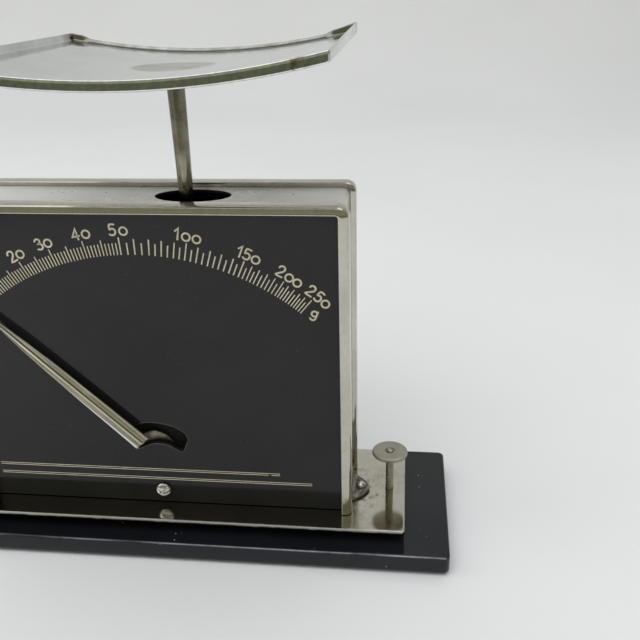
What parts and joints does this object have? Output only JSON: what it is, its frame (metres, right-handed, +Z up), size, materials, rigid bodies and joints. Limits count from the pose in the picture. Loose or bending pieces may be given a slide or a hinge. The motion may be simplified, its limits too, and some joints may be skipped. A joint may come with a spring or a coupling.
{
  "type": "letter scale",
  "caption": "Letter scale with a nickel case, black arc-marked dial, curved pan on a stem, pendulum works and a levelling screw on a black slab.",
  "frame": {"origin": "on the table, under the middle of the slab in X and of the pan and slab's overall depth in Y", "axes": "+X to the levelling screw's end, -Y towards the reader of the dial, +Z up"},
  "size_m": [0.21, 0.1036, 0.1775],
  "materials": {
    "slab_black": "gloss",
    "dial_black": "gloss",
    "nickel": "satin",
    "pan_nickel": "polished",
    "steel": "satin",
    "rusted_steel": "matte",
    "brass": "satin",
    "rubber": "matte"
  },
  "bodies": {
    "base": {"base_slab": "slab_black", "foot_pad_1": "rubber", "foot_pad_2": "rubber", "foot_pad_3": "rubber", "foot_pad_4": "rubber"},
    "chassis": {"foot_plate": "nickel", "pivot_foot_front": "steel", "pivot_foot_rear": "steel", "hold_down_screw": "steel", "hold_down_nut": "steel", "levelling_bush": "steel", "case_band": "nickel", "front_bezel": "nickel", "rear_rim": "nickel", "case_lug_left": "rusted_steel", "case_lug_right": "rusted_steel", "lug_screw_left": "rusted_steel", "lug_screw_right": "rusted_steel", "lug_nut_left": "steel", "lug_nut_right": "steel", "dial_plate": "dial_black", "front_screw": "steel", "dial_spacer": "brass", "rear_cover": "nickel", "cover_screw_1": "steel", "cover_screw_2": "steel", "cover_post_1": "steel", "cover_post_2": "steel", "frame_front_plate": "steel", "frame_rear_plate": "steel", "frame_pillar_1": "steel", "frame_pillar_2": "steel", "frame_pillar_3": "steel", "frame_foot_1": "steel", "frame_foot_2": "steel", "frame_screw_1": "steel", "frame_screw_2": "steel"},
    "levelling_stem": {"levelling_screw": "steel"},
    "levelling_head": {"levelling_knob": "nickel"},
    "pendulum": {"pendulum_axle": "steel", "pendulum_lever": "steel", "pendulum_arm": "steel", "pendulum_weight": "brass", "pendulum_weight_screw": "steel"},
    "auxiliary": {"auxiliary_arm": "steel", "auxiliary_weight": "brass"},
    "pointer": {"pointer_axle": "steel", "pointer_link": "steel", "pointer_hub": "steel", "pointer_neck": "nickel", "pointer": "nickel"},
    "pan": {"pan_carrier": "steel", "carrier_pin_upper": "steel", "carrier_pin_lower": "steel", "stem_bracket": "steel", "stem_nut": "steel", "pan_stem": "nickel", "stem_flange": "nickel", "letter_pan": "pan_nickel"}
  },
  "joints": [
    {"name": "chassis_tilt", "type": "hinge", "parent": "base", "child": "chassis", "pos_m": [-0.08, 0, 0.0082], "axis": [0, 1, 0], "range_deg": [-0.2634, 0.2634]},
    {"name": "levelling_travel", "type": "slide", "parent": "chassis", "child": "levelling_stem", "axis": [0, 0, 1], "range_m": [-0.00076, 0.00076]},
    {"name": "levelling_turn", "type": "hinge", "parent": "levelling_stem", "child": "levelling_head", "pos_m": [0.0831, 0, 0.0307], "axis": [0, 0, 1], "range_deg": [-540, 540]},
    {"name": "pendulum_swing", "type": "hinge", "parent": "chassis", "child": "pendulum", "pos_m": [0, 0, 0.0863], "axis": [0, 1, 0], "range_deg": [0, 79.9]},
    {"name": "pan_lift", "type": "hinge", "parent": "pendulum", "child": "pan", "pos_m": [0.0092, 0, 0.09401], "axis": [0, 1, 0], "range_deg": [-79.9, 0]},
    {"name": "pointer_swing", "type": "hinge", "parent": "chassis", "child": "pointer", "pos_m": [0, 0, 0.0283], "axis": [0, 1, 0], "range_deg": [0, 79.9]},
    {"name": "auxiliary_swing", "type": "hinge", "parent": "chassis", "child": "auxiliary", "pos_m": [0, 0, 0.0863], "axis": [0, 1, 0], "range_deg": [0, 43.2]}
  ],
  "couplings": [
    {"joint": "pan_lift", "follows": "pendulum_swing", "ratio": -1},
    {"joint": "pointer_swing", "follows": "pendulum_swing", "ratio": 1},
    {"joint": "auxiliary_swing", "follows": "pendulum_swing", "ratio": 0.54},
    {"joint": "levelling_travel", "follows": "chassis_tilt", "m_per_rad": 0.1631},
    {"joint": "levelling_turn", "follows": "chassis_tilt", "ratio": 2049.6}
  ]
}
